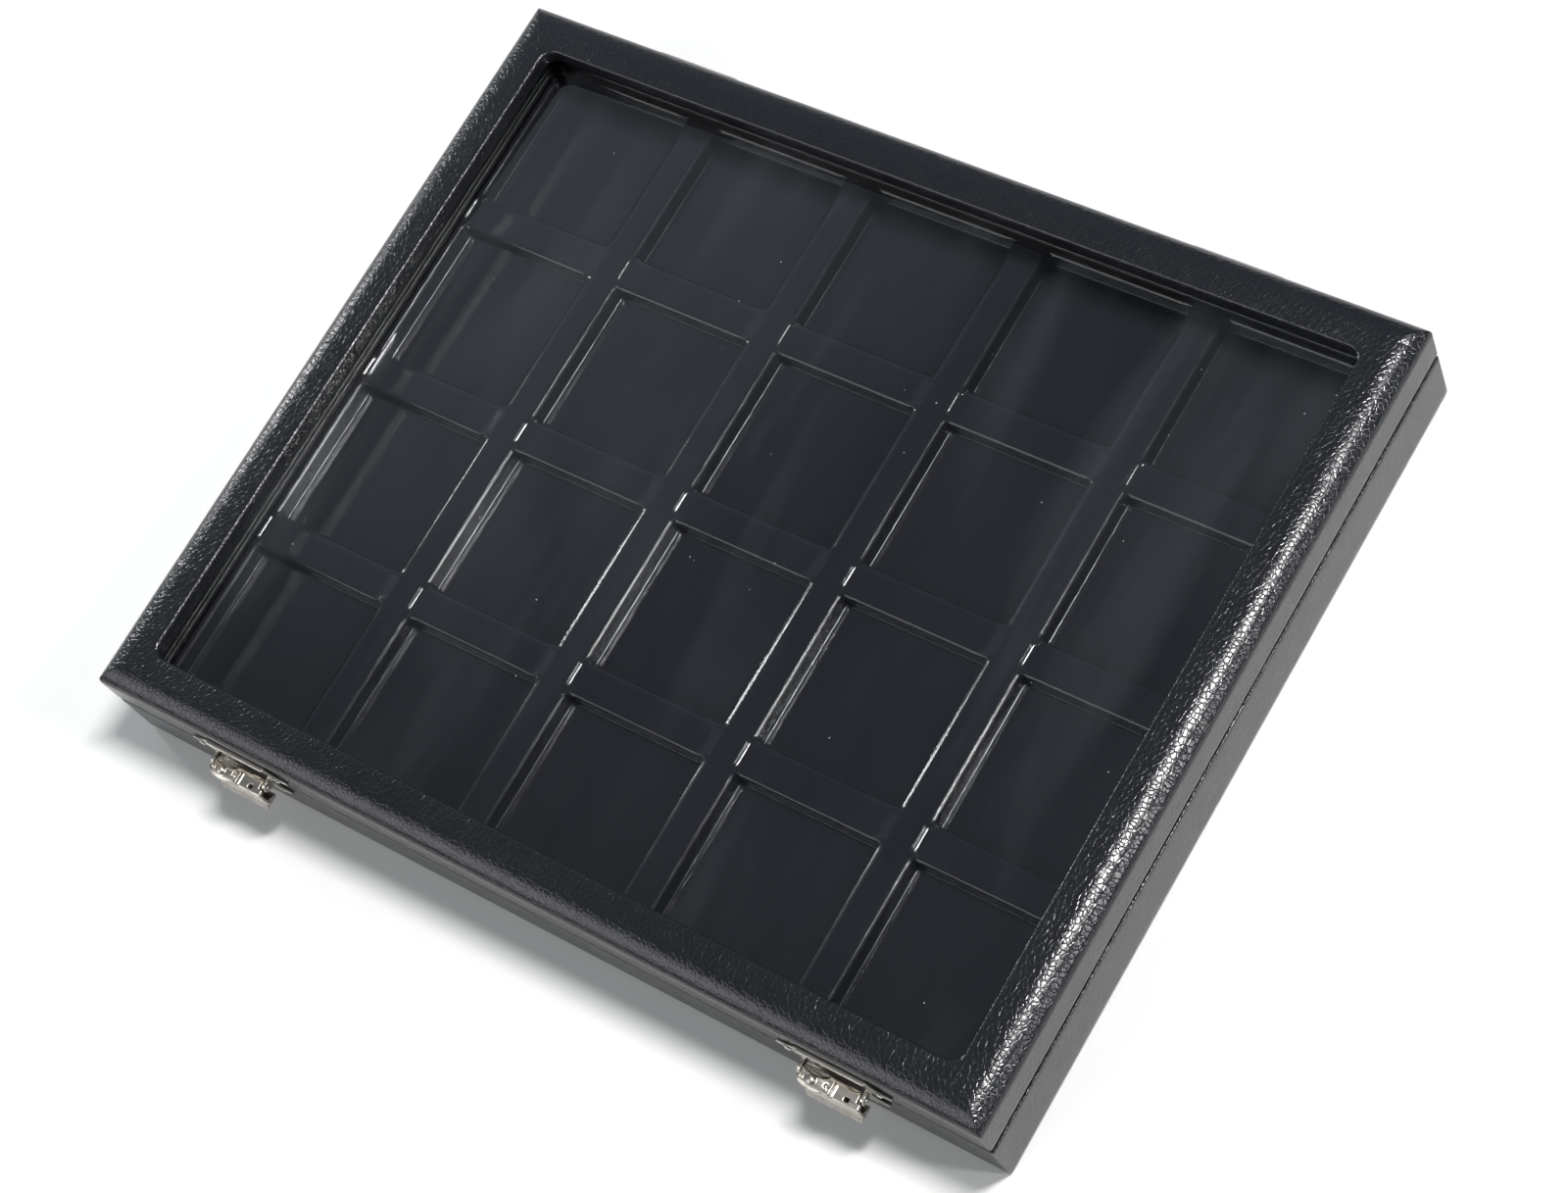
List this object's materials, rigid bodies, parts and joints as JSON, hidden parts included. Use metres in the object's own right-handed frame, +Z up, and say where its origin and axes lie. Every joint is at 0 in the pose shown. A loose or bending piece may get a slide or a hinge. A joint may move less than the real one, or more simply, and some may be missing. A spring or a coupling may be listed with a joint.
{
  "type": "coin display frame",
  "caption": "Low black leatherette case with a hinged glazed lid over a tray of square compartments, held shut by two small metal snap clasps on the front.",
  "frame": {"origin": "middle of the underside, on the felt sheet that the case stands on", "axes": "+X along the long side, +Y from the clasps to the hinges, +Z up"},
  "size_m": [0.303, 0.2568, 0.037],
  "materials": {
    "leatherette": "fine pebble grain, satin",
    "felt": "matt felt",
    "board": "plain hardboard",
    "foam": "closed-cell foam",
    "tray": "formed plastic, satin with glossy edges",
    "strip": "matt black",
    "pane": "clear, polished",
    "nickel": "bright nickel plate",
    "steel": "plated steel"
  },
  "bodies": {
    "base": {"base_felt": "felt", "base_wall_back": "leatherette", "base_wall_front": "leatherette", "base_wall_left": "leatherette", "base_wall_right": "leatherette", "bottom_panel": "board", "cross_divider_1": "tray", "cross_divider_2": "tray", "cross_divider_3": "tray", "foam_pad": "foam", "hinge_leaf_base_left": "nickel", "hinge_leaf_base_right": "nickel", "hinge_pin_left": "steel", "hinge_pin_right": "steel", "hinge_screw_base_left_inner": "steel", "hinge_screw_base_left_outer": "steel", "hinge_screw_base_right_inner": "steel", "hinge_screw_base_right_outer": "steel", "long_divider_1": "tray", "long_divider_2": "tray", "long_divider_3": "tray", "long_divider_4": "tray", "strike_plate_left": "nickel", "strike_plate_right": "nickel", "strike_rivet_left": "steel", "strike_rivet_right": "steel", "tray_edge_back": "tray", "tray_edge_front": "tray", "tray_edge_left": "tray", "tray_edge_right": "tray", "tray_floor": "tray"},
    "lid": {"clasp_nail_left_inner": "steel", "clasp_nail_left_outer": "steel", "clasp_nail_right_inner": "steel", "clasp_nail_right_outer": "steel", "clasp_pin_left": "steel", "clasp_pin_right": "steel", "clasp_plate_left": "nickel", "clasp_plate_right": "nickel", "glazing_strip_back": "strip", "glazing_strip_front": "strip", "glazing_strip_left": "strip", "glazing_strip_right": "strip", "hinge_leaf_lid_left": "nickel", "hinge_leaf_lid_right": "nickel", "hinge_screw_lid_left_inner": "steel", "hinge_screw_lid_left_outer": "steel", "hinge_screw_lid_right_inner": "steel", "hinge_screw_lid_right_outer": "steel", "lid_wall_back": "leatherette", "lid_wall_front": "leatherette", "lid_wall_left": "leatherette", "lid_wall_right": "leatherette", "top_rail_back": "leatherette", "top_rail_front": "leatherette", "top_rail_left": "leatherette", "top_rail_right": "leatherette", "window_pane": "pane"},
    "clasp_left": {"clasp_tongue_left": "nickel"},
    "clasp_right": {"clasp_tongue_right": "nickel"}
  },
  "joints": [
    {"name": "lid_hinge", "type": "hinge", "parent": "base", "child": "lid", "pos_m": [0, 0.1245, 0.02035], "axis": [-1, 0, 0], "range_deg": [0, 180]},
    {"name": "clasp_left_hinge", "type": "hinge", "parent": "lid", "child": "clasp_left", "pos_m": [-0.0997, -0.1257, 0.0226], "axis": [-1, 0, 0], "range_deg": [0, 90]},
    {"name": "clasp_right_hinge", "type": "hinge", "parent": "lid", "child": "clasp_right", "pos_m": [0.1053, -0.1257, 0.0226], "axis": [-1, 0, 0], "range_deg": [0, 90]}
  ]
}
